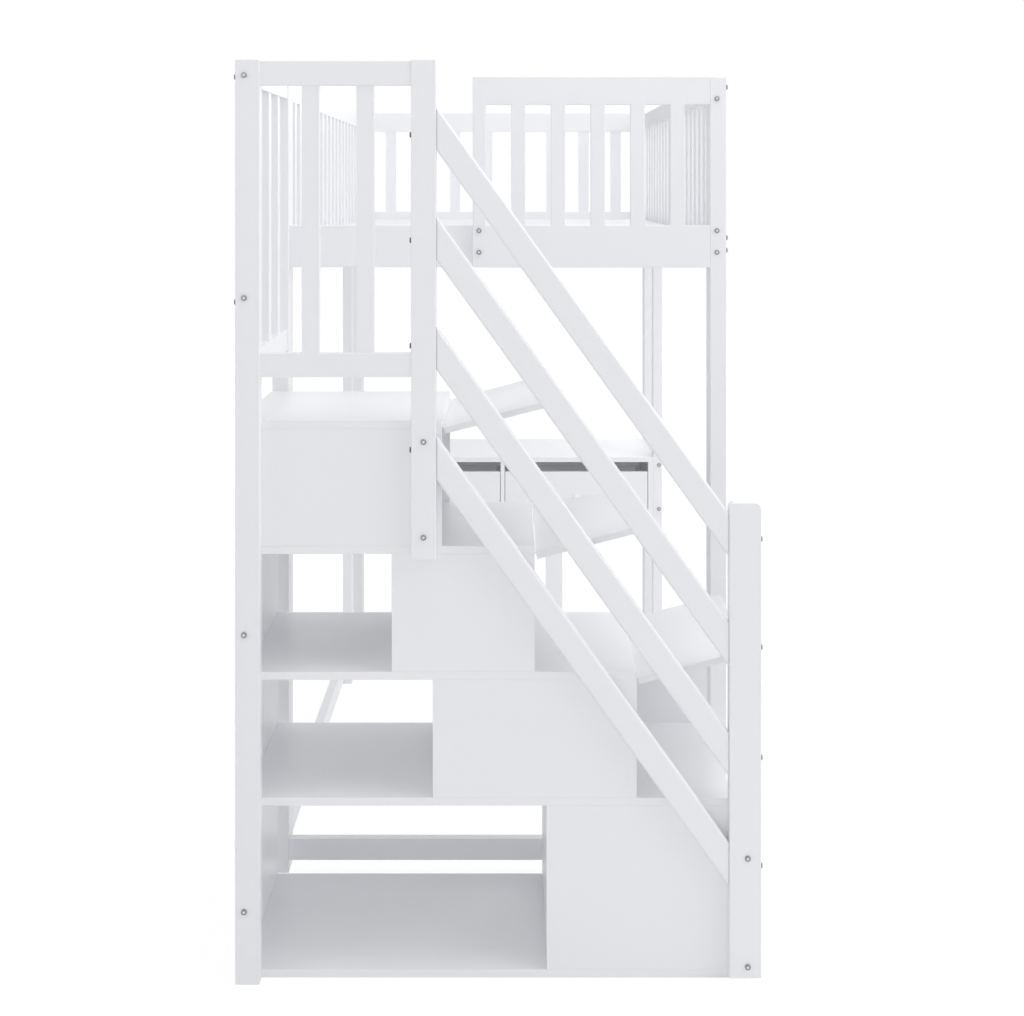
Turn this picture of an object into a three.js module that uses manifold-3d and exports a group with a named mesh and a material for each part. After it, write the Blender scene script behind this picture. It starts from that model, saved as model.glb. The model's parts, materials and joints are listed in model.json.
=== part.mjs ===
// Loft bed with a flight of storage stairs at its near end and a desk under its far end.
// Millimetres, +Z up. +X runs across the bed, +Y from the stairs to the far end.
// The pieces are placed from the front left corner on the floor. The last lines move the whole bed
// so that the origin is at the middle of its footprint, on the floor.

import * as THREE from 'three';
import { mergeVertices } from 'three/addons/utils/BufferGeometryUtils.js';
import Module from 'manifold-3d';

const wasm = await Module();
wasm.setup();

// Overall sizes
const width = 1056;
const bedLength = 2002;
const height = 1851;
const boardThickness = 16;

// Stairs
const stairInset = 3;
const frontPostDepth = 31;
const treadDepth = 474;
const stairsToBed = 40;
const stairsShortOfSide = 51;
const stepRise = 254;
const firstTreadTop = 363;
const stepRuns = [196, 206, 188];
const shelfWidths = [608, 378, 295];
const backThickness = 9;

// Posts and rails at the front of the stairs
const tallPostWidth = 49;
const landingPostInset = 60;
const landingPostWidth = 50;
const landingPostFoot = 850;
const newelWidth = 64;
const newelFoot = 13;
const newelTop = 964;
const newelCorner = 12;
const handrailWidth = 51;
const handrailThickness = 25;
const handrailCount = 4;
const handrailAtLanding = 1714;
const handrailLandingPitch = 220;
const handrailAtNewel = 898;
const handrailNewelPitch = 220;
const guardOverLanding = 90;
const guardDrop = 3;
const landingRailHeight = 48;
const landingSlatWidth = 35;
const landingSlatShift = 9;
const landingSlatCount = 2;
const sideSlatWidth = 35;
const sideSlatCount = 3;
const slatThickness = 19;

// Flaps in the risers
const flapThickness = 13;
const flapClearance = 2;
const flapAngle = 14.5;
const hingeRadius = 1.8;
const hingeLeafWidth = 25;
const hingeLeafThickness = 1.5;
const hingeRunning = 0.4;

// Bed frame
const bedPostWidth = 38;
const bedPostDepth = 77;
const railTop = 1506;
const railHeight = 98;
const endRailThickness = 22;
const ledgerWidth = 38;
const ledgerHeight = 20;
const ledgerTop = 1460;
const bedSlatCount = 14;
const bedSlatWidth = 62;
const bedSlatThickness = 20;
const tapeWidth = 30;
const tapeThickness = 1;
const guardRailHeight = 64;
const guardRailThickness = 25;
const longGuardRailHeight = 51;
const longGuardSlatCount = 18;
const wayInWidth = 428;
const nearGuardStile = 30;
const nearGuardSlatCount = 5;
const nearGuardSlatWidth = 33;
const farGuardSlatCount = 8;
const farGuardSlatWidth = 35;
const floorRailFoot = 30;
const floorRailHeight = 50;
const floorRailThickness = 25;

// Desk
const midPostWidth = 29;
const midPostDepth = 55;
const midPostFront = 2023;
const deskDepth = 383;
const deskTop = 727;
const drawerCaseHeight = 200;
const dividerWidth = 13;
const caseBottomThickness = 9;
const drawerGap = 2;
const drawerFrontHeight = 160;
const drawerWallHeight = 121;
const drawerWall = 12;
const drawerFloor = 6;
const drawerBackRoom = 10;
const knobRadius = 12;
const knobNeckRadius = 7;
const knobLength = 22;
const legWidth = 53;
const legThickness = 28;
const legFromMiddle = 139;

// Clearance that a piece keeps to a neighbour that moves or is housed in it
const housingGap = 0.3;

// Values worked out from the sizes above
const bedNear = frontPostDepth + treadDepth + stairsToBed;
const length = bedNear + bedLength;
const stairRight = width;
const tallPostLeft = stairInset;
const tallPostRight = tallPostLeft + tallPostWidth;
const boxFront = frontPostDepth;
const boxBack = boxFront + treadDepth;
const panelInside = stairInset + boardThickness;
const newelLeft = stairRight - newelWidth;
const bedFar = length;
const nearPostBack = bedNear + bedPostDepth;
const farPostFront = bedFar - bedPostDepth;
const ledgerFoot = ledgerTop - ledgerHeight;
const midPostBack = midPostFront + midPostDepth;
const caseTop = deskTop - boardThickness;
const caseFoot = caseTop - drawerCaseHeight;
const caseBack = midPostFront + deskDepth;
const caseLeft = boardThickness + midPostWidth;
const caseRight = width - caseLeft;

// The top face of each level of the stairs, from the floor board to the platform
const levelTops = [
  boardThickness,
  firstTreadTop,
  firstTreadTop + stepRise,
  firstTreadTop + 2 * stepRise,
  firstTreadTop + 3 * stepRise,
];
// The right end of each level. The floor board is as long as the first tread.
const stairEnd = width - stairsShortOfSide;
const levelEnds = [stairEnd, stairEnd];
for (const run of stepRuns) {
  levelEnds.push(levelEnds.at(-1) - run);
}
const landingPostLeft = levelEnds[4] - landingPostInset;
const landingPostRight = landingPostLeft + landingPostWidth;
const landingGuardFoot = levelTops[4] + guardOverLanding;
const nearGuardLeft = bedPostWidth + wayInWidth;
const guardInside = boardThickness + slatThickness;
const nearRailFront = bedNear + slatThickness;

function finish(color, roughness, metalness = 0) {
  return () => new THREE.MeshStandardMaterial({ color, roughness, metalness });
}

const whitePaint = finish(0xf1f1f2, 0.45);
const whitePanel = finish(0xf4f4f5, 0.35);
const steel = finish(0xa6a8aa, 0.3, 1);
const webbing = finish(0xdedede, 0.9);

// Each name becomes one mesh of the finished group
const bed = new THREE.Group();

function add(name, geometry, material) {
  const mesh = new THREE.Mesh(geometry, material());
  mesh.name = name;
  bed.add(mesh);
  return mesh;
}

// A block between two values on each axis
function block([x0, x1], [y0, y1], [z0, z1]) {
  const geometry = new THREE.BoxGeometry(x1 - x0, y1 - y0, z1 - z0);
  geometry.translate((x0 + x1) / 2, (y0 + y1) / 2, (z0 + z1) / 2);
  return geometry;
}

function toSolid(geometry) {
  const bare = geometry.clone();
  bare.deleteAttribute('normal');
  bare.deleteAttribute('uv');
  const merged = mergeVertices(bare, 1e-4);
  return new wasm.Manifold(new wasm.Mesh({
    numProp: 3,
    vertProperties: new Float32Array(merged.attributes.position.array),
    triVerts: new Uint32Array(merged.index.array),
  }));
}

function toGeometry(solid) {
  const mesh = solid.getMesh();
  const geometry = new THREE.BufferGeometry();
  geometry.setAttribute('position', new THREE.BufferAttribute(new Float32Array(mesh.vertProperties), 3));
  geometry.setIndex(new THREE.BufferAttribute(new Uint32Array(mesh.triVerts), 1));
  geometry.computeVertexNormals();
  return geometry;
}

function join(geometries) {
  return toGeometry(geometries.map(toSolid).reduce((whole, next) => whole.add(next)));
}

// Left edges of a row of equal slats with equal spaces between them and at both ends
function evenRow(start, end, count, size) {
  const space = (end - start - count * size) / (count + 1);
  return Array.from({ length: count }, (_, i) => start + space + i * (size + space));
}

// A range that lies in the middle of another one
function centred(low, high, size) {
  const middle = (low + high) / 2;
  return [middle - size / 2, middle + size / 2];
}

// An outline in the X-Z plane made as thick as the given range in Y
function uprightPlate(outline, [y0, y1]) {
  const shape = new THREE.Shape(outline.map(([x, z]) => new THREE.Vector2(x, z)));
  const geometry = new THREE.ExtrudeGeometry(shape, { depth: y1 - y0, bevelEnabled: false });
  geometry.rotateX(Math.PI / 2);
  geometry.translate(0, y1, 0);
  return geometry;
}

// Front posts
function frontPosts() {
  const depth = [0, frontPostDepth];
  add('tall_post', block([tallPostLeft, tallPostRight], depth, [0, height]), whitePaint);
  add('landing_post', block([landingPostLeft, landingPostRight], depth, [landingPostFoot, height]),
    whitePaint);
  add('newel_post', newelPost(), whitePaint);
}

// The newel ends in two rounded corners
function newelPost() {
  const outline = [[newelLeft, newelFoot], [stairRight, newelFoot]];
  const steps = 4;
  for (let i = 0; i <= steps; i += 1) {
    const turn = (i / steps) * Math.PI / 2;
    outline.push([
      stairRight - newelCorner + newelCorner * Math.cos(turn),
      newelTop - newelCorner + newelCorner * Math.sin(turn),
    ]);
  }
  for (let i = 0; i <= steps; i += 1) {
    const turn = (1 + i / steps) * Math.PI / 2;
    outline.push([
      newelLeft + newelCorner + newelCorner * Math.cos(turn),
      newelTop - newelCorner + newelCorner * Math.sin(turn),
    ]);
  }
  return uprightPlate(outline, [0, frontPostDepth]);
}

// Sloping handrails between the landing post and the newel, with upright ends
function handrails() {
  const depth = centred(0, frontPostDepth, handrailThickness);
  for (let i = 0; i < handrailCount; i += 1) {
    const high = handrailAtLanding - i * handrailLandingPitch;
    const low = handrailAtNewel - i * handrailNewelPitch;
    const slope = Math.atan2(high - low, newelLeft - landingPostRight);
    const half = handrailWidth / 2 / Math.cos(slope);
    const outline = [
      [landingPostRight, high - half],
      [newelLeft, low - half],
      [newelLeft, low + half],
      [landingPostRight, high + half],
    ];
    add(`handrail_${i + 1}`, uprightPlate(outline, depth), whitePaint);
  }
}

// Guard across the front of the landing: two rails and upright slats, glued into one frame
function landingGuard() {
  const depth = centred(0, frontPostDepth, handrailThickness);
  const slatDepth = centred(0, frontPostDepth, slatThickness);
  const top = height - guardDrop;
  const foot = landingGuardFoot;
  const tenon = 10;
  const across = [tallPostRight, landingPostLeft];
  const pieces = [
    block(across, depth, [top - landingRailHeight, top]),
    block(across, depth, [foot, foot + landingRailHeight]),
  ];
  for (const left of evenRow(across[0] + landingSlatShift, across[1], landingSlatCount,
    landingSlatWidth)) {
    pieces.push(block([left, left + landingSlatWidth], slatDepth,
      [foot + landingRailHeight - tenon, top - landingRailHeight + tenon]));
  }
  add('landing_guard', join(pieces), whitePaint);
}

// Guard beside the landing, from the tall post to the bed's near post
function landingSideGuard() {
  const across = [guardInside - guardRailThickness, guardInside];
  const slatAcross = centred(across[0], across[1], slatThickness);
  const along = [frontPostDepth, bedNear];
  const top = height - guardDrop;
  const foot = landingGuardFoot;
  const tenon = 10;
  const pieces = [
    block(across, along, [top - landingRailHeight, top]),
    block(across, along, [foot, foot + landingRailHeight]),
  ];
  for (const near of evenRow(along[0], along[1], sideSlatCount, sideSlatWidth)) {
    pieces.push(block(slatAcross, [near, near + sideSlatWidth],
      [foot + landingRailHeight - tenon, top - landingRailHeight + tenon]));
  }
  add('landing_side_guard', join(pieces), whitePaint);
}

// The boards of the stairs, each butted against the side panel, with the platform lying on top of it
function stairBoards() {
  const along = [boxFront, boxBack];
  const names = ['base_board', 'tread_1', 'tread_2', 'tread_3', 'platform_board'];
  const platformFoot = levelTops[4] - boardThickness;
  add('stair_side_panel', block([stairInset, panelInside], along, [0, platformFoot]), whitePanel);
  names.forEach((name, level) => {
    const left = level === 4 ? stairInset : panelInside;
    const top = levelTops[level];
    add(name, block([left, levelEnds[level]], along, [top - boardThickness, top]), whitePanel);
  });
}

// Left side of the closed box on each level. The highest box reaches the side panel.
function boxLeft(level) {
  return level < 4 ? panelInside + shelfWidths[level - 1] : panelInside;
}

// The closed boxes: a front, a back and, on the three lower levels, a partition beside the open shelf
function boxes() {
  for (let level = 1; level <= 4; level += 1) {
    const foot = levelTops[level - 1];
    const top = levelTops[level] - boardThickness;
    const left = boxLeft(level);
    const right = levelEnds[level];
    const backRight = level === 2 ? levelEnds[1] : right;
    add(`box_front_${level}`, block([left, right], [boxFront, boxFront + boardThickness], [foot, top]),
      whitePanel);
    add(`box_back_${level}`, block([left, backRight], [boxBack, boxBack + backThickness],
      [foot - boardThickness, top]), whitePanel);
    if (level < 4) {
      add(`partition_${level}`, block([left, left + boardThickness],
        [boxFront + boardThickness, boxBack], [foot, top]), whitePanel);
    }
  }
  const riserRight = levelEnds[1];
  add('riser_1', block([riserRight - boardThickness, riserRight],
    [boxFront + boardThickness, boxBack], [levelTops[0], levelTops[1] - boardThickness]), whitePanel);
}

// Where a flap turns: just under the right end of the board above it
function flapAxis(level) {
  return {
    x: levelEnds[level] + hingeRadius / 5,
    z: levelTops[level] - boardThickness - hingeRadius * 1.2,
  };
}

// Flap that closes the riser of one box, shown swung up, with its hinge under the board
function riserFlap(level) {
  const axis = flapAxis(level);
  const foot = levelTops[level - 1];
  const reach = axis.z - foot - flapClearance;
  const start = hingeRadius + hingeRunning;
  const along = [boxFront + boardThickness + flapClearance, boxBack - flapClearance];
  const geometry = block([start, reach], along, [-flapThickness, 0]);
  const flap = add(`flap_${level}`, geometry, whitePanel);
  flap.position.set(axis.x, 0, axis.z);
  flap.rotation.y = -THREE.MathUtils.degToRad(flapAngle);

  const underside = levelTops[level] - boardThickness;
  const barrel = new THREE.CylinderGeometry(hingeRadius, hingeRadius, along[1] - along[0], 12);
  barrel.translate(axis.x, (along[0] + along[1]) / 2, axis.z);
  const leaf = block([axis.x - hingeLeafWidth, axis.x], along,
    [underside - hingeLeafThickness, underside]);
  add(`flap_hinge_${level}`, join([leaf, barrel]), steel);
}

// Corner posts of the bed and the two inner posts that carry the side rails and the desk
function bedPosts() {
  const sides = {
    left: [0, bedPostWidth],
    right: [width - bedPostWidth, width],
  };
  for (const [side, across] of Object.entries(sides)) {
    add(`near_post_${side}`, block(across, [bedNear, nearPostBack], [0, height]), whitePaint);
    add(`far_post_${side}`, block(across, [farPostFront, bedFar], [0, height]), whitePaint);
  }
  const midDepth = [midPostFront, midPostBack];
  add('mid_post_left', block([boardThickness, caseLeft], midDepth, [0, ledgerFoot]), whitePaint);
  add('mid_post_right', block([caseRight, width - boardThickness], midDepth, [0, ledgerFoot]),
    whitePaint);
}

// Side rails with the ledger that the bed slats lie on, and the two end rails
function bedRails() {
  const along = [nearPostBack, farPostFront];
  const up = [railTop - railHeight, railTop];
  const ledgerUp = [ledgerFoot, ledgerTop];
  const ledgerRoot = 2;
  const leftRail = block([0, boardThickness], along, up);
  const leftLedger = block([boardThickness - ledgerRoot, boardThickness + ledgerWidth], along, ledgerUp);
  add('side_rail_left', join([leftRail, leftLedger]), whitePaint);
  const rightRail = block([width - boardThickness, width], along, up);
  const rightLedger = block([width - boardThickness - ledgerWidth, width - boardThickness + ledgerRoot],
    along, ledgerUp);
  add('side_rail_right', join([rightRail, rightLedger]), whitePaint);
  const across = [bedPostWidth, width - bedPostWidth];
  add('near_end_rail', block(across, [nearRailFront, nearRailFront + endRailThickness], up),
    whitePaint);
  add('far_end_rail', block(across, [bedFar - endRailThickness, bedFar], up), whitePaint);
}

// Bed slats held at an even distance by two tapes under them
function bedSlats() {
  const left = boardThickness + slatThickness + 2 * housingGap;
  const across = [left, width - left];
  const start = nearRailFront + endRailThickness;
  const end = bedFar - endRailThickness;
  const up = [ledgerTop, ledgerTop + bedSlatThickness];
  const rows = evenRow(start, end, bedSlatCount, bedSlatWidth);
  const pieces = rows.map((near) => block(across, [near, near + bedSlatWidth], up));
  const tapeEnds = [rows[0], rows[bedSlatCount - 1] + bedSlatWidth];
  for (const middle of [width / 4, width * 3 / 4]) {
    pieces.push(block(centred(middle, middle, tapeWidth), tapeEnds,
      [ledgerTop - tapeThickness, ledgerTop + tapeThickness]));
  }
  add('bed_slats', join(pieces), webbing);
}

// Guard along each side: a top rail and slats that stand on the ledger, inside the side rail
function longGuards() {
  const along = [nearPostBack, farPostFront];
  const rows = evenRow(along[0], along[1], longGuardSlatCount, sideSlatWidth);
  const tenon = 10;
  const top = height - guardDrop;
  const sides = { left: 1, right: -1 };
  for (const [side, sign] of Object.entries(sides)) {
    const edge = side === 'left' ? 0 : width;
    const span = (from, to) => [edge + sign * from, edge + sign * to].sort((a, b) => a - b);
    const pieces = [
      block(span(guardInside - guardRailThickness, guardInside), along,
        [top - longGuardRailHeight, top]),
    ];
    for (const near of rows) {
      pieces.push(block(span(boardThickness, guardInside),
        [near, near + sideSlatWidth], [ledgerTop, top - longGuardRailHeight + tenon]));
    }
    add(`long_guard_${side}`, join(pieces), whitePaint);
  }
}

// Guard over part of the near end. Its face is flush with the near posts, and it lies on the end
// rail, which is set back for it. The space left of it is the way in from the platform.
function nearGuard() {
  const along = [bedNear, nearRailFront];
  const foot = railTop - railHeight;
  const topRailFoot = height - guardRailHeight;
  const tenon = 10;
  const right = width - bedPostWidth;
  const pieces = [
    block([nearGuardLeft, right], along, [topRailFoot, height]),
    block([nearGuardLeft, right], along, [foot, railTop]),
    block([nearGuardLeft, nearGuardLeft + nearGuardStile], along, [foot, height]),
  ];
  for (const left of evenRow(nearGuardLeft + nearGuardStile, right, nearGuardSlatCount,
    nearGuardSlatWidth)) {
    pieces.push(block([left, left + nearGuardSlatWidth], along,
      [railTop - tenon, topRailFoot + tenon]));
  }
  add('near_guard', join(pieces), whitePaint);
}

// Guard over the whole far end, standing on the end rail
function farGuard() {
  const across = [bedPostWidth, width - bedPostWidth];
  const along = [bedFar - endRailThickness, bedFar];
  const slatAlong = centred(along[0], along[1], slatThickness);
  const topRailFoot = height - guardRailHeight;
  const tenon = 10;
  const pieces = [block(across, along, [topRailFoot, height])];
  for (const left of evenRow(across[0], across[1], farGuardSlatCount, farGuardSlatWidth)) {
    pieces.push(block([left, left + farGuardSlatWidth], slatAlong, [railTop, topRailFoot + tenon]));
  }
  add('far_guard', join(pieces), whitePaint);
}

// Rails just above the floor. The long ones are housed around the inner posts.
function floorRails() {
  const up = [floorRailFoot, floorRailFoot + floorRailHeight];
  add('near_floor_rail', block([bedPostWidth, width - bedPostWidth],
    [bedNear, bedNear + floorRailThickness], up), whitePaint);
  const sides = { left: 1, right: -1 };
  for (const [side, sign] of Object.entries(sides)) {
    const edge = side === 'left' ? 0 : width;
    const span = (from, to) => [edge + sign * from, edge + sign * to].sort((a, b) => a - b);
    const whole = toSolid(block(span(0, floorRailThickness), [nearPostBack, farPostFront], up));
    const housing = toSolid(block(
      span(boardThickness - housingGap, boardThickness + midPostWidth),
      [midPostFront - housingGap, midPostBack + housingGap],
      [up[0] - housingGap, up[1] + housingGap],
    ));
    add(`long_floor_rail_${side}`, toGeometry(whole.subtract(housing)), whitePaint);
  }
}

// Desk top over an open-fronted case for two drawers, on two legs and between the inner posts
function desk() {
  const depth = [midPostFront, caseBack];
  const caseUp = [caseFoot, caseTop];
  add('desktop', block([caseLeft, caseRight], depth, [caseTop, deskTop]), whitePanel);
  const middle = width / 2;
  const carcass = toSolid(block([caseLeft, caseRight], depth, caseUp));
  const bays = drawerBays().map(([left, right]) => toSolid(block([left, right],
    [midPostFront - boardThickness, caseBack - boardThickness],
    [caseFoot + caseBottomThickness, caseTop + boardThickness])));
  add('desk_case', toGeometry(bays.reduce((rest, bay) => rest.subtract(bay), carcass)), whitePanel);
  const legDepth = [midPostFront, midPostFront + legThickness];
  add('desk_leg_left', block([middle - legFromMiddle - legWidth, middle - legFromMiddle], legDepth,
    [0, caseFoot]), whitePaint);
  add('desk_leg_right', block([middle + legFromMiddle, middle + legFromMiddle + legWidth], legDepth,
    [0, caseFoot]), whitePaint);
}

// The inside of each drawer bay across the bed
function drawerBays() {
  const divider = centred(width / 2, width / 2, dividerWidth);
  return [
    [caseLeft + boardThickness, divider[0]],
    [divider[1], caseRight - boardThickness],
  ];
}

// A drawer: an open tray behind a front that stands higher than its walls, and a turned knob
function drawer(side, [bayLeft, bayRight]) {
  const foot = caseFoot + caseBottomThickness + housingGap;
  const left = bayLeft + drawerGap;
  const right = bayRight - drawerGap;
  const frontBack = midPostFront + boardThickness;
  const trayBack = caseBack - boardThickness - drawerBackRoom;
  const front = toSolid(block([left, right], [midPostFront, frontBack], [foot, foot + drawerFrontHeight]));
  const tray = toSolid(block([left, right], [frontBack - 1, trayBack], [foot, foot + drawerWallHeight]));
  const hollow = toSolid(block([left + drawerWall, right - drawerWall],
    [frontBack, trayBack - drawerWall], [foot + drawerFloor, foot + drawerWallHeight + drawerWall]));
  add(`drawer_${side}`, toGeometry(front.add(tray).subtract(hollow)), whitePanel);

  const profile = [
    [0, 0],
    [knobNeckRadius, 0],
    [knobNeckRadius, knobLength * 0.45],
    [knobRadius, knobLength * 0.65],
    [knobRadius, knobLength * 0.85],
    [knobRadius * 0.7, knobLength],
    [0, knobLength],
  ];
  const knob = new THREE.LatheGeometry(profile.map(([r, h]) => new THREE.Vector2(r, h)), 20);
  knob.rotateX(Math.PI);
  knob.translate((left + right) / 2, midPostFront, foot + drawerFrontHeight / 2);
  add(`drawer_knob_${side}`, knob, whitePaint);
}

frontPosts();
handrails();
landingGuard();
landingSideGuard();
stairBoards();
boxes();
for (const level of [2, 3, 4]) {
  riserFlap(level);
}
bedPosts();
bedRails();
bedSlats();
longGuards();
nearGuard();
farGuard();
floorRails();
desk();
drawerBays().forEach((bay, i) => drawer(['left', 'right'][i], bay));

bed.position.set(-width / 2, -length / 2, 0);

export default bed;
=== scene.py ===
# %% [markdown]
# # A white loft bed with storage stairs
# The bed's frame, stairs, flaps and drawers come in as fixed solids at their real size. This script
# dresses them: rounded edges, satin paint, bolts, catches and knobs, in a plain pale studio.

import json
import math

import bmesh
import bpy
from mathutils import Matrix, Vector


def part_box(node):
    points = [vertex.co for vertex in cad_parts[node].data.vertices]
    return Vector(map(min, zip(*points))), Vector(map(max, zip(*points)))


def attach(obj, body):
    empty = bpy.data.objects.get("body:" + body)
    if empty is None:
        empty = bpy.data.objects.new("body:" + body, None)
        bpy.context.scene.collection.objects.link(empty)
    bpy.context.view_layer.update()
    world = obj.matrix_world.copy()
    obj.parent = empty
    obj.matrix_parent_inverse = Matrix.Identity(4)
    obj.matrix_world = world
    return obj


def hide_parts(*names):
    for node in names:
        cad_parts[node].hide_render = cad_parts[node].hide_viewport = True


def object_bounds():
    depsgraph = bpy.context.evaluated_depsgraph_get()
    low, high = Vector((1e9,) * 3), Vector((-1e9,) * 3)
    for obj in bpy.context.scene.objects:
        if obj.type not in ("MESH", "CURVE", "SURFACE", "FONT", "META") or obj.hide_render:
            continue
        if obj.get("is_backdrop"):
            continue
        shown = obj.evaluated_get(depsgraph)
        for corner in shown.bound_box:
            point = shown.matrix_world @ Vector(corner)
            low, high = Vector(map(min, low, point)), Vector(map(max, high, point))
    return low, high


MILLIMETRES = 1000
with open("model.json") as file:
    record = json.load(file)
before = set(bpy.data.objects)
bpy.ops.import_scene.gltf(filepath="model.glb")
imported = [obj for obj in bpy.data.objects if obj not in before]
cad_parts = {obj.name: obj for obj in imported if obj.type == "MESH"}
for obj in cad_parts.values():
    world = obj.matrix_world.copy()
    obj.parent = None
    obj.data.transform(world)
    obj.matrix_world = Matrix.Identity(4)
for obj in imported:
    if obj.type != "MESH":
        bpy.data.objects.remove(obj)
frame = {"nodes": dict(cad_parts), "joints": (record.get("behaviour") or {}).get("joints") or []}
nodes = frame["nodes"]
joints = {joint["name"]: joint for joint in frame["joints"]}
cad_low, cad_high = (Vector(corner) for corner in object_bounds())
print("bed", [round(v, 3) for v in cad_high - cad_low], "m,", len(nodes), "solids")

# %% [markdown]
# ## Shader maths that reads like a formula
# A material is a graph of sockets. Wrapping one socket in a small class lets `1 - mask` add its own
# Math node, so a finish can be written as one expression and changed as easily as one.

# %% A socket with operators
class Value:
    """One socket of a material that can be added, subtracted and multiplied."""

    def __init__(self, tree, socket):
        self.tree = tree
        self.socket = socket

    def maths(self, operation, first, second):
        made = self.tree.nodes.new("ShaderNodeMath")
        made.operation = operation
        feed(self.tree, made.inputs[0], first)
        feed(self.tree, made.inputs[1], second)
        return Value(self.tree, made.outputs[0])

    def __add__(self, other):
        return self.maths("ADD", self, other)

    def __radd__(self, other):
        return self.maths("ADD", other, self)

    def __sub__(self, other):
        return self.maths("SUBTRACT", self, other)

    def __rsub__(self, other):
        return self.maths("SUBTRACT", other, self)

    def __mul__(self, other):
        return self.maths("MULTIPLY", self, other)

    def __rmul__(self, other):
        return self.maths("MULTIPLY", other, self)


def feed(tree, socket, value):
    """Link a socket to another one, or write a plain number or colour into it."""
    if isinstance(value, Value):
        tree.links.new(value.socket, socket)
    else:
        socket.default_value = value


print("operators ready")

# %% [markdown]
# ## Nodes and finishes
# Every other node comes from one method, which takes the node's type, its settings and what goes
# into its sockets. Sockets go by their names. Where a node gives one name to several sockets, as
# Mix and Vector Math do, they go by their places. A finish is a material with one Principled
# shader, and it adds the three things that all paints here need: noise, a blend and a relief.

# %% Graphs and finishes
COLOUR_A = 6
COLOUR_B = 7
COLOUR_OUT = 2
EVEN_ROUGHNESS = 0.5
RELIEF_DEPTH = 0.0002


class Graph:
    """The nodes of a material or a world, with one method that makes any of them."""

    def __init__(self, tree):
        self.tree = tree

    def node(self, kind, settings=None, sockets=None, out=0):
        made = self.tree.nodes.new(kind)
        for key, value in (settings or {}).items():
            setattr(made, key, value)
        for key, value in (sockets or {}).items():
            feed(self.tree, made.inputs[key], value)
        return Value(self.tree, made.outputs[out])


class Finish(Graph):
    """A new material with one Principled shader."""

    def __init__(self, name):
        self.material = bpy.data.materials.new(name)
        self.material.use_nodes = True
        super().__init__(self.material.node_tree)
        self.shader = self.tree.nodes["Principled BSDF"]

    def noise(self, place, scale, detail, roughness=EVEN_ROUGHNESS):
        sockets = {"Vector": place, "Scale": scale, "Detail": detail, "Roughness": roughness}
        return self.node("ShaderNodeTexNoise", None, sockets)

    def blend(self, share, deep, light):
        sockets = {"Factor": share, COLOUR_A: (*deep, 1), COLOUR_B: (*light, 1)}
        return self.node("ShaderNodeMix", {"data_type": "RGBA"}, sockets, out=COLOUR_OUT)

    def relief(self, height, strength):
        sockets = {"Strength": strength, "Distance": RELIEF_DEPTH, "Height": height}
        return self.node("ShaderNodeBump", None, sockets)

    def shade(self, sockets):
        for key, value in sockets.items():
            feed(self.tree, self.shader.inputs[key], value)
        return self.material


print("finishes have a relief", RELIEF_DEPTH * MILLIMETRES, "mm deep")

# %% [markdown]
# ## White satin paint on wood
# Paint hides the colour of the wood but not quite its grain: along each rail a faint relief and a
# slight change of gloss remain. A picture of painted wood would repeat and would have to be fitted
# to every piece, so noise is used, stretched along the piece. There is one finish for each
# direction that a piece can run in, and on the sloping handrails the coordinates are turned by the
# slope first. The white itself drifts by about one part in a hundred.

# %% The slope of the handrails
# The handrails' ends are cut upright, and each cut is this high
HANDRAIL_UPRIGHT = 0.0873
handrail_low, handrail_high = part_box("handrail_1")
handrail_run = handrail_high[0] - handrail_low[0]
handrail_rise = handrail_high[2] - handrail_low[2] - HANDRAIL_UPRIGHT
slope_angle = math.atan2(handrail_rise, handrail_run)
print("handrails slope by", round(math.degrees(slope_angle), 1), "degrees")

# %% Paint on solid wood
PAINT_LIGHT = (0.828, 0.835, 0.858)
PAINT_DEEP = (0.806, 0.814, 0.839)
PAINT_ROUGHNESS = 0.36
PAINT_ROUGHNESS_SPREAD = 0.16
PAINT_RELIEF = 0.20
GRAIN_DETAIL = 5.0
GRAIN_ROUGHNESS = 0.62
GRAIN_IN_WHITE = 0.3
GRAIN_IN_RELIEF = 0.8
PAINT_DRIFT = 1.7
PAINT_SKIN = 420.0
PAINT_DETAIL = 2.0
# The grain's scales go into its coordinates, and so its noise isn't scaled again
UNSCALED = 1.0
ALONG = 2.2
ACROSS = 95.0
GRAIN = {
    "x": (ALONG, ACROSS, ACROSS),
    "y": (ACROSS, ALONG, ACROSS),
    "z": (ACROSS, ACROSS, ALONG),
    "slope": (ALONG, ACROSS, ACROSS),
}


def painted_wood(direction):
    finish = Finish(f"painted_wood_{direction}")
    place = finish.node("ShaderNodeTexCoord", out="Object")
    turn = (0, slope_angle, 0) if direction == "slope" else (0, 0, 0)
    turned = finish.node("ShaderNodeMapping", {"vector_type": "TEXTURE"}, {
        "Vector": place,
        "Rotation": turn,
    })
    stretched = finish.node("ShaderNodeVectorMath", {"operation": "MULTIPLY"}, {
        0: turned,
        1: GRAIN[direction],
    })
    grain = finish.noise(stretched, UNSCALED, GRAIN_DETAIL, GRAIN_ROUGHNESS)
    drift = finish.noise(place, PAINT_DRIFT, PAINT_DETAIL)
    skin = finish.noise(place, PAINT_SKIN, PAINT_DETAIL)
    share = drift * (1 - GRAIN_IN_WHITE) + grain * GRAIN_IN_WHITE
    height = grain * GRAIN_IN_RELIEF + skin * (1 - GRAIN_IN_RELIEF)
    return finish.shade({
        "Base Color": finish.blend(share, PAINT_DEEP, PAINT_LIGHT),
        "Roughness": PAINT_ROUGHNESS + grain * PAINT_ROUGHNESS_SPREAD,
        "Normal": finish.relief(height, PAINT_RELIEF),
    })


paints = {direction: painted_wood(direction) for direction in GRAIN}
print("paints", list(paints))

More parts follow.
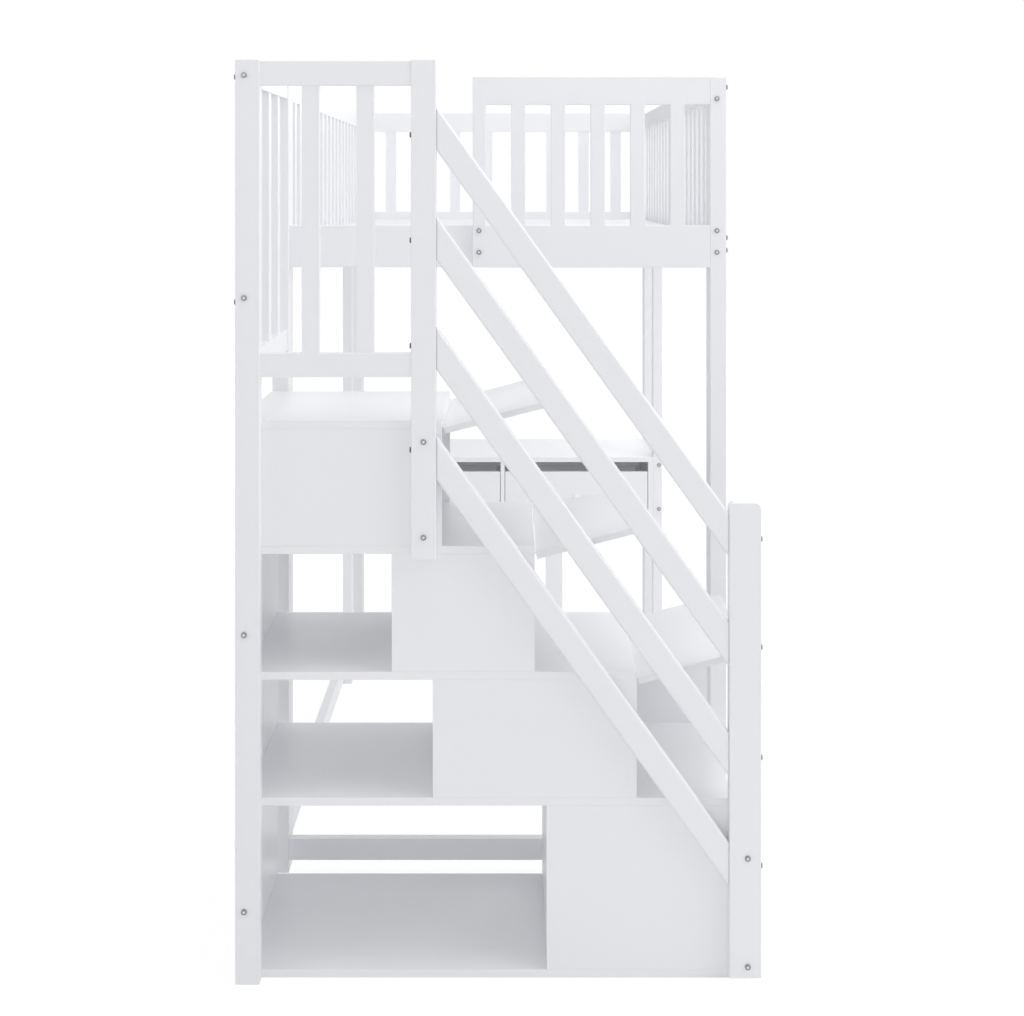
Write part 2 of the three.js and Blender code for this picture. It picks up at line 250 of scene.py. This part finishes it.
# %% [markdown]
# ## Paint on board
# The treads, boxes, flaps and drawers are flat board. The wood's paint would show grain there that
# board doesn't have, so it gets its own: no grain, only the fine skin that a roller or a spray
# leaves, and a broad, weak drift in colour and gloss.

# %% Paint on board
BOARD_LIGHT = (0.834, 0.841, 0.862)
BOARD_DEEP = (0.818, 0.826, 0.849)
BOARD_ROUGHNESS = 0.30
BOARD_ROUGHNESS_SPREAD = 0.14
BOARD_RELIEF = 0.15
BOARD_DRIFT = 2.6
BOARD_SKIN = 310.0
BOARD_DETAIL = 3.0


def painted_board():
    finish = Finish("painted_board")
    place = finish.node("ShaderNodeTexCoord", out="Object")
    drift = finish.noise(place, BOARD_DRIFT, BOARD_DETAIL)
    skin = finish.noise(place, BOARD_SKIN, BOARD_DETAIL)
    return finish.shade({
        "Base Color": finish.blend(drift, BOARD_DEEP, BOARD_LIGHT),
        "Roughness": BOARD_ROUGHNESS + drift * BOARD_ROUGHNESS_SPREAD,
        "Normal": finish.relief(skin, BOARD_RELIEF),
    })


board_paint = painted_board()
print("board", board_paint.name)

# %% [markdown]
# ## Metal and plastic
# The strike plates are zinc plated, and the bolts are darker steel with a light socket. Their rims'
# side walls are rough and near black: painted shadow, for the shade that rings each head. The
# catches are moulded black plastic, and the caps over the screws are white plastic. All are so
# small that only a cloudy colour and gloss can be seen, so one function makes them from a table.

# %% Metal and plastic
CLOUD_DETAIL = 4.0
CLOUD_RELIEF = 0.15
CLOUD_ROUGHNESS_SPREAD = 0.15
# Each one: its light and its deep colour, if it is metal, its roughness, and the clouds' scale
FITTINGS = {
    "zinc_plate": ((0.72, 0.73, 0.74), (0.62, 0.63, 0.64), 1.0, 0.24, 260.0),
    "bolt_steel": ((0.32, 0.32, 0.33), (0.24, 0.24, 0.25), 1.0, 0.34, 260.0),
    # Near black on the rims' side walls: painted shadow for the shade round each bolt head
    "bolt_painted_shadow": ((0.10, 0.10, 0.105), (0.06, 0.06, 0.065), 0.0, 0.55, 260.0),
    "bolt_socket": ((0.84, 0.84, 0.85), (0.74, 0.74, 0.75), 0.0, 0.5, 300.0),
    "black_plastic": ((0.035, 0.035, 0.037), (0.022, 0.022, 0.024), 0.0, 0.42, 190.0),
    "cap_plastic": ((0.87, 0.87, 0.875), (0.84, 0.84, 0.845), 0.0, 0.33, 150.0),
}


def cloudy(name, light, deep, metallic, rough, scale):
    finish = Finish(name)
    place = finish.node("ShaderNodeTexCoord", out="Object")
    cloud = finish.noise(place, scale, CLOUD_DETAIL)
    return finish.shade({
        "Base Color": finish.blend(cloud, deep, light),
        "Metallic": metallic,
        "Roughness": rough + cloud * CLOUD_ROUGHNESS_SPREAD,
        "Normal": finish.relief(cloud, CLOUD_RELIEF),
    })


fittings = {name: cloudy(name, *look) for name, look in FITTINGS.items()}
print("metal and plastic", list(fittings))

# %% [markdown]
# ## Finishes and rounded edges on the solids
# Every solid keeps its shape, and modifiers round its edges: 5 mm on the handrails, which hands
# hold, under 2 mm on the other wood, and under 1 mm on board. The solids arrive cut into triangles
# with an own corner for each, so the corners are welded and flat neighbours merged first, or the
# bevel would have no edges to follow. The flaps' thin hinges are painted over with the boards.

# %% Rounded edges
WELD = 0.00002
FLAT_ANGLE = math.radians(1)
SHARP_ANGLE = math.radians(40)


def soften(piece, width, segments):
    weld = piece.modifiers.new("weld", "WELD")
    weld.merge_threshold = WELD
    merge = piece.modifiers.new("merge", "DECIMATE")
    merge.decimate_type = "DISSOLVE"
    merge.angle_limit = FLAT_ANGLE
    bevel = piece.modifiers.new("edges", "BEVEL")
    bevel.width = width
    bevel.segments = segments
    bevel.limit_method = "ANGLE"
    bevel.angle_limit = SHARP_ANGLE
    bevel.use_clamp_overlap = True


print("edges sharper than", round(math.degrees(SHARP_ANGLE)), "degrees are rounded")

# %% Directions and finishes
HANDRAIL_EDGE = 0.0048
WOOD_EDGE = 0.0016
BOARD_EDGE = 0.0009
HINGE_EDGE = 0.0003
FINE_SEGMENTS = 3
PLAIN_SEGMENTS = 2
RUNS_UP = ("post", "leg", "guard")
# Each slot's paint, edge width and edge steps. Solid wood isn't among them, as its paint depends on
# the direction that the piece runs in.
LOOKS = {
    "hinge_steel": (board_paint, HINGE_EDGE, PLAIN_SEGMENTS),
    "painted_board": (board_paint, BOARD_EDGE, PLAIN_SEGMENTS),
    "slat_wood": (paints["x"], WOOD_EDGE, PLAIN_SEGMENTS),
}


def direction_of(name):
    if name.startswith("handrail"):
        return "slope"
    if any(word in name for word in RUNS_UP):
        return "z"
    low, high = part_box(name)
    sizes = [high[axis] - low[axis] for axis in range(3)]
    return "xyz"[sizes.index(max(sizes))]


def dress(name, piece):
    slot = piece.material_slots[0].material.name.split(".")[0]
    wood_edge = HANDRAIL_EDGE if name.startswith("handrail") else WOOD_EDGE
    wood = (paints[direction_of(name)], wood_edge, FINE_SEGMENTS)
    paint, edge, segments = LOOKS.get(slot, wood)
    piece.material_slots[0].material = paint
    soften(piece, edge, segments)


for node_name, solid in nodes.items():
    dress(node_name, solid)
print("dressed", len(nodes), "solids")

# %% [markdown]
# ## Small pieces made with mesh code
# A bolt head, a cap or a knob is a profile turned about its axis. A Screw modifier could turn it,
# but there are many copies, so one helper turns the profile straight into a shared mesh, placed by
# a point and the direction that the copy faces. Another one makes the mesh a piece of the bed.

# %% Turning and placing helpers
def facing(point, direction):
    turn = Vector(direction).to_track_quat("Z", "Y").to_matrix().to_4x4()
    return Matrix.Translation(point) @ turn


def turned_rings(mesh, profile, place, steps):
    """Turn the profile about the place's Z axis, with an open top, and return its rings."""
    rings = []
    for radius, height in profile:
        ring = []
        for step in range(steps):
            angle = 2 * math.pi * step / steps
            spot = Vector((radius * math.cos(angle), radius * math.sin(angle), height))
            ring.append(mesh.verts.new(place @ spot))
        rings.append(ring)
    for low, high in zip(rings, rings[1:]):
        for step in range(steps):
            after = (step + 1) % steps
            mesh.faces.new((low[step], low[after], high[after], high[step]))
    mesh.faces.new(list(reversed(rings[0])))
    return rings


def finish_piece(name, mesh, materials, body):
    """Make an object of the mesh, shade it smooth up to its sharp edges, and fix it to its body."""
    data = bpy.data.meshes.new(name)
    bmesh.ops.recalc_face_normals(mesh, faces=mesh.faces[:])
    mesh.to_mesh(data)
    mesh.free()
    for material in materials:
        data.materials.append(material)
    data.polygons.foreach_set("use_smooth", [True] * len(data.polygons))
    data.set_sharp_from_angle(angle=SHARP_ANGLE)
    piece = bpy.data.objects.new(name, data)
    bpy.context.scene.collection.objects.link(piece)
    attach(piece, body)
    return piece


print("turning helpers ready")

# %% [markdown]
# ## Bolts with a hexagon socket
# Flat round heads show on the posts wherever a rail or a handrail ends. A boolean could cut the
# socket, but it leaves ragged faces on so small a head. Here the turned rim closes on a hexagon of
# as many points as its last ring, so plain faces join the two, and a light socket is sunk inside.
# The rim's side wall is painted near black, a painted shadow for the shade that rings the head.

# %% A bolt head
HEAD_RADIUS = 0.0056
HEAD_PROUD = 0.0038
HEAD_CHAMFER = 0.0009
HEAD_STEPS = 24
SOCKET_RADIUS = 0.0028
SOCKET_FLOOR = 0.0028
HEXAGON_SIDE = math.pi / 3
BOLT_FINISHES = [fittings["bolt_steel"], fittings["bolt_socket"], fittings["bolt_painted_shadow"]]
SOCKET_FINISH = 1
# The rim's side walls take the near-black painted shadow
PAINTED_SHADOW_FINISH = 2
HEAD_PROFILE = [
    (HEAD_RADIUS, 0.0),
    (HEAD_RADIUS, HEAD_PROUD - HEAD_CHAMFER),
    (HEAD_RADIUS - HEAD_CHAMFER, HEAD_PROUD),
]


def bolt_head(mesh, point, direction):
    place = facing(point, direction)
    before = len(mesh.faces)
    rim = turned_rings(mesh, HEAD_PROFILE, place, HEAD_STEPS)[-1]
    mesh.faces.ensure_lookup_table()
    # Painted shadow: the rim's side walls are made dark to stand for the shade round the head
    for wall in mesh.faces[before:before + HEAD_STEPS]:
        wall.material_index = PAINTED_SHADOW_FINISH
    inner = []
    floor = []
    for step in range(HEAD_STEPS):
        angle = 2 * math.pi * step / HEAD_STEPS
        from_middle = (angle % HEXAGON_SIDE) - HEXAGON_SIDE / 2
        reach = SOCKET_RADIUS * math.cos(HEXAGON_SIDE / 2) / math.cos(from_middle)
        spot = (reach * math.cos(angle), reach * math.sin(angle))
        inner.append(mesh.verts.new(place @ Vector((*spot, HEAD_PROUD))))
        floor.append(mesh.verts.new(place @ Vector((*spot, SOCKET_FLOOR))))
    for step in range(HEAD_STEPS):
        after = (step + 1) % HEAD_STEPS
        mesh.faces.new((rim[step], rim[after], inner[after], inner[step]))
        wall = mesh.faces.new((inner[step], inner[after], floor[after], floor[step]))
        wall.material_index = SOCKET_FINISH
    mesh.faces.new(floor).material_index = SOCKET_FINISH


def make_bolts(name, rows):
    """One mesh of bolt heads from rows of x, y, heights and the direction that the heads face."""
    mesh = bmesh.new()
    for x, y, heights, direction in rows:
        for height in heights:
            bolt_head(mesh, (x, y, height), direction)
    finish_piece(name, mesh, BOLT_FINISHES, "frame")
    print(name, "has", sum(len(heights) for x, y, heights, direction in rows), "heads")


print("bolt heads are", HEAD_RADIUS * 2 * MILLIMETRES, "mm wide")

# %% Bolts of the stairs
FRONT = (0, -1, 0)
BACK = (0, 1, 0)
LEFT = (-1, 0, 0)
RIGHT = (1, 0, 0)
# Heights of the bolts above the floor
TALL_FRONT_BOLTS = (1.820, 1.374, 0.700, 0.146)
TALL_SIDE_BOLTS = (1.817, 1.365)
LANDING_FRONT_BOLTS = (1.086, 0.895)
NEWEL_FRONT_BOLTS = (0.253, 0.036)
HANDRAIL_TOP_BOLTS = (1.701, 1.489, 1.277, 1.068)
HANDRAIL_FOOT_BOLTS = (0.889, 0.672, 0.450, 0.233)
# How far the front bolts sit from the tall post's left edge and from the newel's middle
TALL_BOLT_INSET = 0.018
NEWEL_BOLT_SHIFT = 0.0045


def middle(name, axis):
    low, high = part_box(name)
    return (low[axis] + high[axis]) / 2


front = cad_low.y
tall_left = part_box("tall_post")[0][0]
landing_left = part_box("landing_post")[0][0]
newel_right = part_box("newel_post")[1][0]
post_middle = middle("tall_post", 1)
make_bolts("stair_bolts", [
    (tall_left + TALL_BOLT_INSET, front, TALL_FRONT_BOLTS, FRONT),
    (tall_left, post_middle, TALL_SIDE_BOLTS, LEFT),
    (middle("landing_post", 0), front, LANDING_FRONT_BOLTS, FRONT),
    (landing_left, post_middle, HANDRAIL_TOP_BOLTS, LEFT),
    (middle("newel_post", 0) + NEWEL_BOLT_SHIFT, front, NEWEL_FRONT_BOLTS, FRONT),
    (newel_right, post_middle, HANDRAIL_FOOT_BOLTS, RIGHT),
])

# %% Bolts of the bed
RAIL_BOLTS = (1.494, 1.4435)
GUARD_BOLT = 1.801
FLOOR_BOLT = 0.055
END_BOLTS = (*RAIL_BOLTS, GUARD_BOLT)
SIDE_BOLTS = (*END_BOLTS, FLOOR_BOLT)
DESK_BOLTS = (0.702, 0.561)
# How far the front bolts sit from the near guard's left edge and from the post's right side
GUARD_BOLT_INSET = 0.0145
POST_BOLT_INSET = 0.022
# The near right post has its side bolts just behind its front face
NEAR_SIDE_BOLTS = (1.828, 1.477, 1.448, FLOOR_BOLT)
NEAR_SIDE_BEHIND = 0.012
# The desk's bolts sit a little outside the middles of the inner posts
DESK_BOLT_SHIFT = 0.004

guard_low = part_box("near_guard")[0]
post_low, post_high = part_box("near_post_right")
guard_front = guard_low[1]
mid_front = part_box("mid_post_right")[0][1]
left_side = cad_low.x
right_side = cad_high.x
far_side = cad_high.y
make_bolts("bed_bolts", [
    (guard_low[0] + GUARD_BOLT_INSET, guard_front, RAIL_BOLTS, FRONT),
    (post_high[0] - POST_BOLT_INSET, guard_front, END_BOLTS, FRONT),
    (right_side, post_low[1] + NEAR_SIDE_BEHIND, NEAR_SIDE_BOLTS, RIGHT),
    (left_side, middle("near_post_left", 1), SIDE_BOLTS, LEFT),
    (left_side, middle("far_post_left", 1), SIDE_BOLTS, LEFT),
    (right_side, middle("far_post_right", 1), SIDE_BOLTS, RIGHT),
    (middle("far_post_left", 0), far_side, END_BOLTS, BACK),
    (middle("far_post_right", 0), far_side, END_BOLTS, BACK),
    (middle("mid_post_right", 0) + DESK_BOLT_SHIFT, mid_front, DESK_BOLTS, FRONT),
    (middle("mid_post_left", 0) - DESK_BOLT_SHIFT, mid_front, DESK_BOLTS, FRONT),
])

# %% [markdown]
# ## Caps over the screws of the stairs
# The boards are screwed through the side panel, and white caps cover the screws, three to a board.
# A cap could be a bare disc, but a disc has no edge that catches light, so it is turned like the
# bolts, with a low dome. The lowest row stays clear of the panel's foot.

# %% Screw caps
CAP_STEPS = 28
CAP_PROFILE = [
    (0.0065, 0.00000),
    (0.0065, 0.00045),
    (0.0052, 0.00090),
    (0.0002, 0.00099),
]
CAP_SHARES = (0.12, 0.5, 0.88)
CAP_ABOVE_FOOT = 0.009
CAPPED_BOARDS = ("base_board", "tread_1", "tread_2", "tread_3")
panel_low, panel_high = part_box("stair_side_panel")

caps = bmesh.new()
for board_name in CAPPED_BOARDS:
    cap_z = max(middle(board_name, 2), panel_low[2] + CAP_ABOVE_FOOT)
    for share in CAP_SHARES:
        cap_y = panel_low[1] + share * (panel_high[1] - panel_low[1])
        cap_place = facing((panel_low[0], cap_y, cap_z), LEFT)
        rings = turned_rings(caps, CAP_PROFILE, cap_place, CAP_STEPS)
        caps.faces.new(rings[-1])
finish_piece("screw_caps", caps, [fittings["cap_plastic"]], "frame")
print(len(CAPPED_BOARDS) * len(CAP_SHARES), "caps")

# %% [markdown]
# ## Magnetic catches and strike plates
# Behind each flap, in the middle of the opening, a black catch stands on the board. Its magnet
# pulls on a steel plate that is screwed to the inside of the flap. Both could be one piece in the
# picture, but the plate rides on the flap and the catch doesn't, so they are made apart, from
# blocks with rounded edges.

# %% Rounded blocks
BLOCK_SEGMENTS = 2
BLOCK_BULGE = 0.7


def rounded_block(mesh, size, place, round_by, material=0):
    start = len(mesh.verts)
    made = bmesh.ops.create_cube(mesh, size=1.0)
    bmesh.ops.scale(mesh, vec=size, verts=made["verts"])
    edges = list({edge for vert in made["verts"] for edge in vert.link_edges})
    bmesh.ops.bevel(mesh, geom=edges, offset=round_by, segments=BLOCK_SEGMENTS,
                    affect="EDGES", profile=BLOCK_BULGE)
    mesh.verts.ensure_lookup_table()
    fresh = mesh.verts[start:]
    bmesh.ops.transform(mesh, matrix=place, verts=fresh)
    for face in {face for vert in fresh for face in vert.link_faces}:
        face.material_index = material


print("blocks have", BLOCK_SEGMENTS, "steps on each edge")

# %% Catches and strike plates
CATCH_SIZE = (0.012, 0.046, 0.013)
CATCH_ROUND = 0.0012
POLE_SIZE = (0.0012, 0.030, 0.0025)
POLE_LIFT = 0.0032
PLATE_SIZE = (0.013, 0.036, 0.0010)
METAL_ROUND = 0.0003
STEEL = 1
FLAP_BOARDS = {2: "tread_1", 3: "tread_2", 4: "tread_3"}
REST_ANGLE = math.radians(14.5)
FLAP_THICKNESS = 0.013
FLAP_CLEARANCE = 0.002
CATCH_GAP = 0.0018
PLATE_FROM_TIP = 0.009


def make_catch(level, pivot, board_top):
    """A catch with two steel poles that face the closed flap."""
    catch_x = pivot.x - FLAP_THICKNESS - CATCH_GAP - CATCH_SIZE[0] / 2
    catch_at = Vector((catch_x, pivot.y, board_top + CATCH_SIZE[2] / 2))
    catch = bmesh.new()
    rounded_block(catch, CATCH_SIZE, Matrix.Translation(catch_at), CATCH_ROUND)
    for lift in (-POLE_LIFT, POLE_LIFT):
        pole_at = catch_at + Vector((CATCH_SIZE[0] / 2, 0, lift))
        rounded_block(catch, POLE_SIZE, Matrix.Translation(pole_at), METAL_ROUND, STEEL)
    finishes = [fittings["black_plastic"], fittings["zinc_plate"]]
    finish_piece(f"catch_{level}", catch, finishes, "frame")


def make_plate(level, pivot, board_top):
    """A plate near the flap's tip, in the flap's frame: X from the hinge, Z out of its face."""
    tip = pivot.z - board_top - FLAP_CLEARANCE
    plate_at = (tip - PLATE_FROM_TIP, 0, -FLAP_THICKNESS - PLATE_SIZE[2] / 2)
    flap_place = Matrix.Translation(pivot) @ Matrix.Rotation(-REST_ANGLE, 4, "Y")
    plate = bmesh.new()
    rounded_block(plate, PLATE_SIZE, flap_place @ Matrix.Translation(plate_at), METAL_ROUND)
    finishes = [fittings["zinc_plate"]]
    finish_piece(f"strike_plate_{level}", plate, finishes, f"flap_{level}_body")


for level, board_name in FLAP_BOARDS.items():
    hinge_at = Vector(joints[f"flap_{level}_swing"]["pos_m"])
    top_of_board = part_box(board_name)[1][2]
    make_catch(level, hinge_at, top_of_board)
    make_plate(level, hinge_at, top_of_board)
print("catches behind flaps", list(FLAP_BOARDS))

# %% [markdown]
# ## Turned drawer knobs
# A knob is turned wood under the same paint: a short neck, a mushroom head and a soft front. A
# subdivided cube could be pulled into this shape, but a lathe makes the real one, so it is a
# profile of a few points, turned like the bolts and shaded smooth. It replaces the plain solid.

# %% Drawer knobs
KNOB_STEPS = 32
KNOB_PROFILE = [
    (0.0075, 0.000),
    (0.0070, 0.003),
    (0.0066, 0.008),
    (0.0100, 0.0125),
    (0.0120, 0.0158),
    (0.0117, 0.0188),
    (0.0085, 0.0214),
    (0.0030, 0.0220),
]
for side in ("left", "right"):
    knob_name = f"drawer_knob_{side}"
    drawer_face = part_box(knob_name)[1][1]
    knob_at = (middle(knob_name, 0), drawer_face, middle(knob_name, 2))
    knob = bmesh.new()
    rings = turned_rings(knob, KNOB_PROFILE, facing(knob_at, FRONT), KNOB_STEPS)
    knob.faces.new(rings[-1])
    piece = finish_piece(f"knob_{side}", knob, [paints["y"]], f"drawer_{side}_body")
    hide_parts(knob_name)
print("knobs stand", round(KNOB_PROFILE[-1][1] * MILLIMETRES), "mm out")

# %% [markdown]
# ## Floor and light
# The picture has a white ground with no horizon. More light on the floor would burn out the bed as
# well, so the floor is plain white, and the rays that see it get mostly bare white, with a little
# of its real shading left near the bed, so that it keeps its shadow. The world gives even light
# from all sides and is bare white to the same rays, and big soft lamps shape the white surfaces.

# %% Rays that see bare white
BARE_RAYS = ("Is Camera Ray", "Is Glossy Ray", "Is Transmission Ray")


def bare_rays(graph):
    """1 for a ray from the lens, from a reflection or from behind glass, and 0 for any other."""
    first, second, third = (graph.node("ShaderNodeLightPath", out=ray) for ray in BARE_RAYS)
    return first + second + third


print("bare white is seen by", len(BARE_RAYS), "kinds of ray")

# %% The floor's plane
FLOOR_HALF = 14.0
floor_data = bpy.data.meshes.new("studio_floor")
floor_corners = [(-FLOOR_HALF, -FLOOR_HALF, 0), (FLOOR_HALF, -FLOOR_HALF, 0),
                 (FLOOR_HALF, FLOOR_HALF, 0), (-FLOOR_HALF, FLOOR_HALF, 0)]
floor_data.from_pydata(floor_corners, [], [(0, 1, 2, 3)])
floor = bpy.data.objects.new("studio_floor", floor_data)
bpy.context.scene.collection.objects.link(floor)
floor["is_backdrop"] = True
print("floor", FLOOR_HALF * 2, "m wide")

# %% The floor's finish
FLOOR_WHITE = (0.92, 0.92, 0.92, 1)
FLOOR_ROUGHNESS = 0.9
WHITE = (1, 1, 1, 1)
WHITE_LIFT = 1.04
SHADOW_SHARE = 0.12
SHADOW_REACH = 1.6
SHADOW_FADE = 1.6
floor_finish = Finish("studio_floor")
floor_finish.shade({"Base Color": FLOOR_WHITE, "Roughness": FLOOR_ROUGHNESS})
shaded = Value(floor_finish.tree, floor_finish.shader.outputs[0])
bare_white = floor_finish.node("ShaderNodeEmission", None, {
    "Color": WHITE,
    "Strength": WHITE_LIFT,
})
spot = floor_finish.node("ShaderNodeTexCoord", out="Object")
away = floor_finish.node("ShaderNodeVectorMath", {"operation": "LENGTH"}, {0: spot}, out="Value")
near = floor_finish.node("ShaderNodeMapRange", None, {
    "Value": away,
    "From Min": SHADOW_REACH,
    "From Max": SHADOW_REACH + SHADOW_FADE,
    "To Min": SHADOW_SHARE,
    "To Max": 0.0,
})
bare_share = bare_rays(floor_finish) * (1 - near)
mixed = floor_finish.node("ShaderNodeMixShader", None, {0: bare_share, 1: shaded, 2: bare_white})
feed(floor_finish.tree, floor_finish.tree.nodes["Material Output"].inputs["Surface"], mixed)
floor_data.materials.append(floor_finish.material)
print("the floor's shading fades out", SHADOW_REACH + SHADOW_FADE, "m from the middle")

# %% World
WORLD_LEVEL = 0.44
world = bpy.data.worlds.new("studio")
bpy.context.scene.world = world
world.use_nodes = True
air = Graph(world.node_tree)
sky = air.tree.nodes["Background"]
feed(air.tree, sky.inputs["Color"], WHITE)
feed(air.tree, sky.inputs["Strength"], bare_rays(air) * (1 - WORLD_LEVEL) + WORLD_LEVEL)
print("world level", WORLD_LEVEL)

# %% Lamps
# Each lamp: its place, the point it faces, its size in metres, its watts, and if it casts shadows.
# The two fill lamps cast none, so that they lift the inside of the shelves as a room's walls would.
LAMPS = {
    "top": ((0.3, -0.6, 5.2), (0, 0, 0.8), 4.0, 76, True),
    "right": ((4.2, -3.4, 2.8), (0, -0.6, 0.9), 3.5, 25, True),
    "high_right": ((3.6, -2.6, 4.4), (0.2, -0.8, 0.8), 3.0, 36, True),
    "side_right": ((4.6, -0.6, 3.4), (0.2, -0.6, 0.7), 3.0, 38, True),
    "left": ((-4.2, -3.4, 2.8), (0, -0.6, 0.9), 3.5, 34, True),
    "back": ((2.0, 5.5, 4.0), (0, 0.5, 1.0), 4.0, 80, True),
    "front_fill": ((-0.6, -6.5, 3.0), (0, -0.6, 1.0), 3.5, 38, False),
    "right_fill": ((4.2, -3.4, 2.8), (0, -0.6, 0.9), 3.5, 70, False),
}


def soft_lamp(name, place, target, size, watts, shadow):
    data = bpy.data.lights.new(name, "AREA")
    data.shape = "SQUARE"
    data.size = size
    data.energy = watts
    data.use_shadow = shadow
    lamp = bpy.data.objects.new(name, data)
    lamp.location = place
    lamp.rotation_euler = (Vector(target) - Vector(place)).to_track_quat("-Z", "Y").to_euler()
    bpy.context.scene.collection.objects.link(lamp)


for lamp_name, lamp_settings in LAMPS.items():
    soft_lamp(f"{lamp_name}_lamp", *lamp_settings)
bpy.context.scene.view_settings.view_transform = "Standard"
print("lamps", list(LAMPS))

# %% [markdown]
# ## Camera
# The picture was taken level, with the lens shifted down so that upright lines stay upright. A
# tilted camera would see the same pieces, but its upright lines would lean. The picture's one
# vanishing point, the camera's height and its distance follow from the bed's own proportions.

# %% Camera
IMAGE_WIDTH = 1024
IMAGE_HEIGHT = 1016
VANISH_X = 511
VANISH_Y = 185
CAMERA_HEIGHT = 1.600
CAMERA_DISTANCE = 3.350
CAMERA_X = 0.027
PIXELS_PER_DISTANCE = 1675
SENSOR = 36.0
camera_data = bpy.data.cameras.new("camera")
camera_data.sensor_width = SENSOR
camera_data.lens = SENSOR * PIXELS_PER_DISTANCE / IMAGE_WIDTH
camera_data.shift_x = (IMAGE_WIDTH / 2 - VANISH_X) / IMAGE_WIDTH
camera_data.shift_y = -(IMAGE_HEIGHT / 2 - VANISH_Y) / IMAGE_WIDTH
camera = bpy.data.objects.new("camera", camera_data)
camera.location = (CAMERA_X, front - CAMERA_DISTANCE, CAMERA_HEIGHT)
camera.rotation_euler = (math.pi / 2, 0, 0)
bpy.context.scene.collection.objects.link(camera)
bpy.context.scene.camera = camera
print("lens", round(camera_data.lens, 2), "mm, shift", round(camera_data.shift_y, 4))
